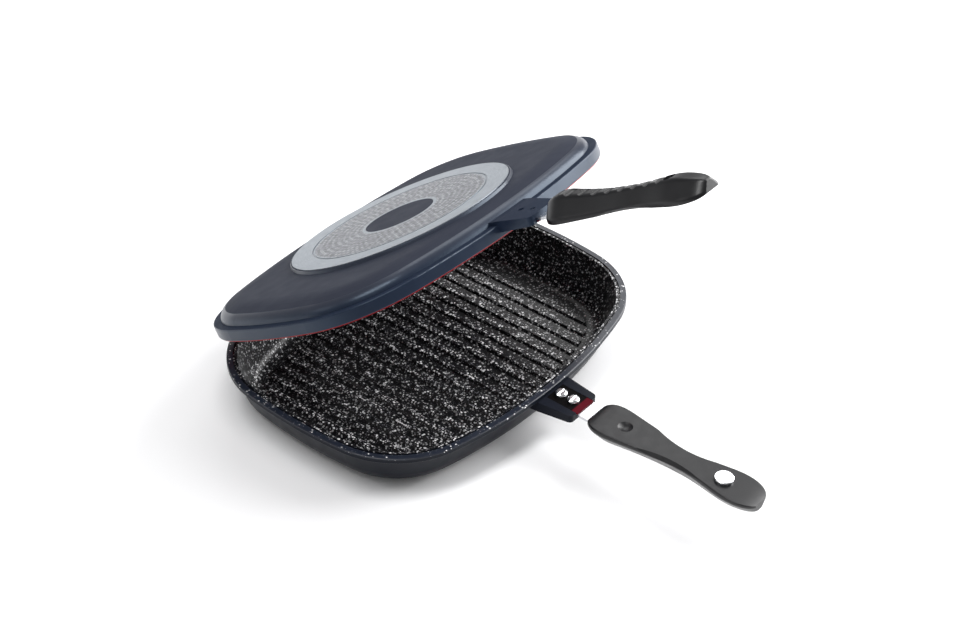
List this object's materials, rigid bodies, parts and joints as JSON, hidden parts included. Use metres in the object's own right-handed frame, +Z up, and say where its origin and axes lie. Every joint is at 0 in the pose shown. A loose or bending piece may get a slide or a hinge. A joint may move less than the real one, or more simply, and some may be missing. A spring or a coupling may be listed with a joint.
{
  "type": "hinged grill pan",
  "caption": "Hinged two-sided grill pan: a deep ribbed lower pan and a shallower lid pan on hinge pins, each with a bracketed handle, a magnet button and a steel base disc.",
  "frame": {"origin": "centre of the lower pan's base, in the plane it stands on", "axes": "+Z up, +X along the long side of the pans, +Y from the handles towards the hinge"},
  "size_m": [0.36, 0.5025, 0.317],
  "materials": {
    "pan_coating": "non-stick granite coating inside, satin dark blue enamel outside",
    "lid_coating": "satin blue-grey enamel",
    "base_disc": "brushed, perforated in its middle zone",
    "seal_silicone": "matte silicone",
    "tang_steel": "polished flat bar",
    "pad_silicone": "matte silicone",
    "screw_chrome": "polished",
    "grip_plastic": "satin moulded phenolic plastic",
    "magnet_steel": "plain nickel-plated magnet",
    "button_chrome": "polished",
    "pin_steel": "plain steel"
  },
  "bodies": {
    "pan": {"lower_pan": "pan_coating", "lower_base_disc": "base_disc", "lower_tang": "tang_steel", "lower_tang_pad": "pad_silicone", "lower_tang_screws": "screw_chrome", "lower_grip": "grip_plastic", "lower_grip_screw": "screw_chrome", "lower_magnet": "magnet_steel", "lower_magnet_button": "button_chrome", "hinge_pin_left": "pin_steel", "hinge_pin_right": "pin_steel", "hinge_clip_left": "pin_steel", "hinge_clip_right": "pin_steel"},
    "lid": {"upper_pan": "lid_coating", "upper_base_disc": "base_disc", "lid_seal": "seal_silicone", "upper_tang": "tang_steel", "upper_tang_pad": "pad_silicone", "upper_tang_screws": "screw_chrome", "upper_grip": "grip_plastic", "upper_grip_screw": "screw_chrome", "upper_magnet": "magnet_steel", "upper_magnet_button": "button_chrome"}
  },
  "joints": [
    {"name": "lid_hinge", "type": "hinge", "parent": "pan", "child": "lid", "pos_m": [0, 0.146, 0.0456], "axis": [-1, 0, 0], "range_deg": [-31.5, 73.5]}
  ]
}
